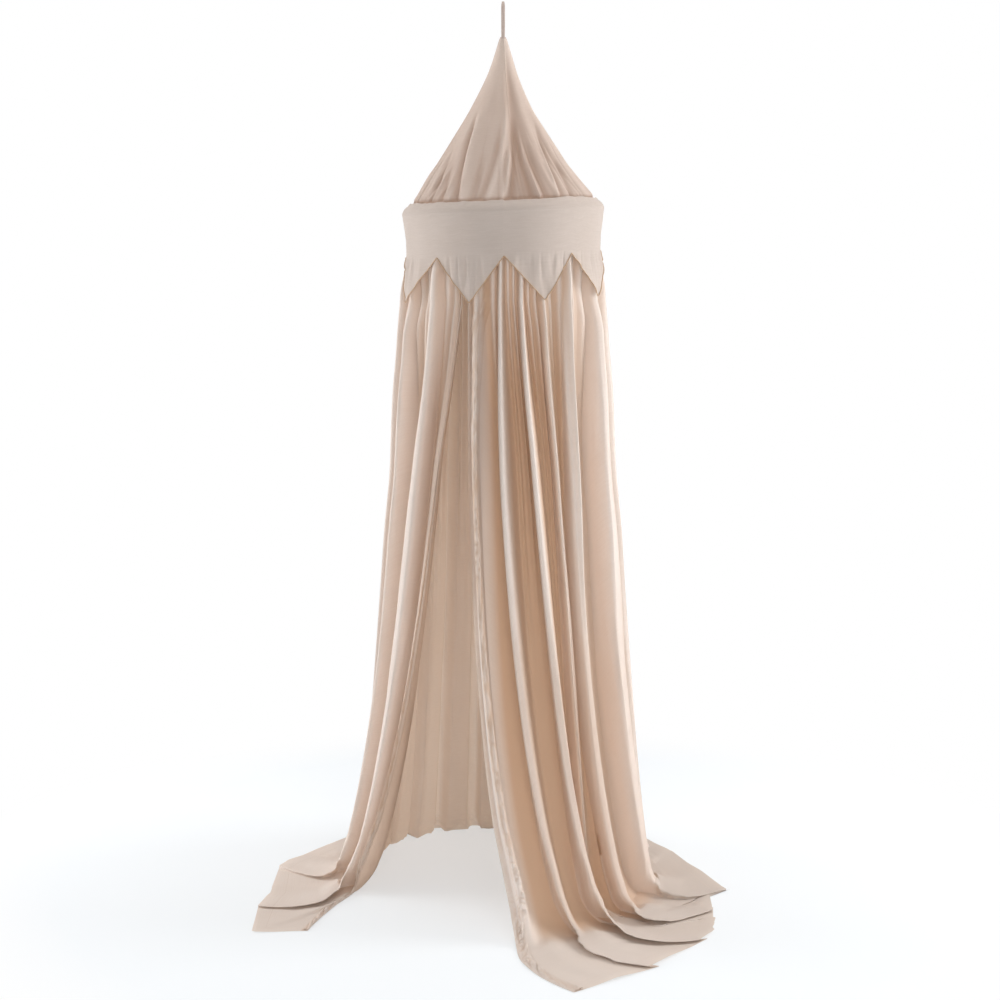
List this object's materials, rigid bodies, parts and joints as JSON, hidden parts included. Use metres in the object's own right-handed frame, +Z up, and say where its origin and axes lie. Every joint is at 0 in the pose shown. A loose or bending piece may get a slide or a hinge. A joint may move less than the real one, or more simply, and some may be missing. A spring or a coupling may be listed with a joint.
{
  "type": "hanging bed crown canopy",
  "caption": "Cotton bed canopy hung from a tape loop: pointed roof over a hoop, crown band with a pointed edge, and a long gathered curtain open at the front with a train on the floor.",
  "frame": {"origin": "where the ceiling hook carries the hanging loop, at the underside of the loop's top", "axes": "+Z up along the hanging axis, +X to the right of someone facing the entrance, the entrance faces -Y"},
  "size_m": [1.1797, 1.3588, 2.1915],
  "materials": {
    "cotton": "plain weave, matt, thin",
    "band_cotton": "plain weave, matt, lined",
    "edging": "fine corded trim, matt",
    "tape": "woven tape, matt",
    "hoop_plastic": "smooth, satin"
  },
  "bodies": {
    "loop": {"hanging_loop": "tape", "loop_knot": "tape"},
    "canopy": {"peak_binding": "tape", "roof_gore_front_left": "cotton", "roof_gore_back_left": "cotton", "roof_gore_back_right": "cotton", "roof_gore_front_right": "cotton", "hoop_tube_front": "hoop_plastic", "hoop_tube_back": "hoop_plastic", "hoop_joiner_left": "hoop_plastic", "hoop_joiner_right": "hoop_plastic", "hoop_casing": "cotton", "heading_tape": "tape", "crown_band_front": "band_cotton", "crown_edging_front": "edging", "crown_band_left": "band_cotton", "crown_edging_left": "edging", "crown_band_back": "band_cotton", "crown_edging_back": "edging", "crown_band_right": "band_cotton", "crown_edging_right": "edging", "curtain_left_side": "cotton", "curtain_back": "cotton", "curtain_right_side": "cotton", "curtain_left_upper": "cotton", "curtain_right_upper": "cotton", "hem_left_upper": "cotton", "hem_right_upper": "cotton"},
    "left_front": {"curtain_left_flap": "cotton", "hem_left_flap": "cotton"},
    "right_front": {"curtain_right_flap": "cotton", "hem_right_flap": "cotton"}
  },
  "joints": [
    {"name": "loop_twist", "type": "hinge", "parent": "loop", "child": "canopy", "pos_m": [0, 0, -0.084], "axis": [0, 0, 1], "range_deg": [-90, 90]},
    {"name": "left_front_draw", "type": "hinge", "parent": "canopy", "child": "left_front", "pos_m": [0, 0, -1.28], "axis": [0, 0, 1], "range_deg": [0, 18]},
    {"name": "right_front_draw", "type": "hinge", "parent": "canopy", "child": "right_front", "pos_m": [0, 0, -1.28], "axis": [0, 0, 1], "range_deg": [-8, 0]}
  ]
}
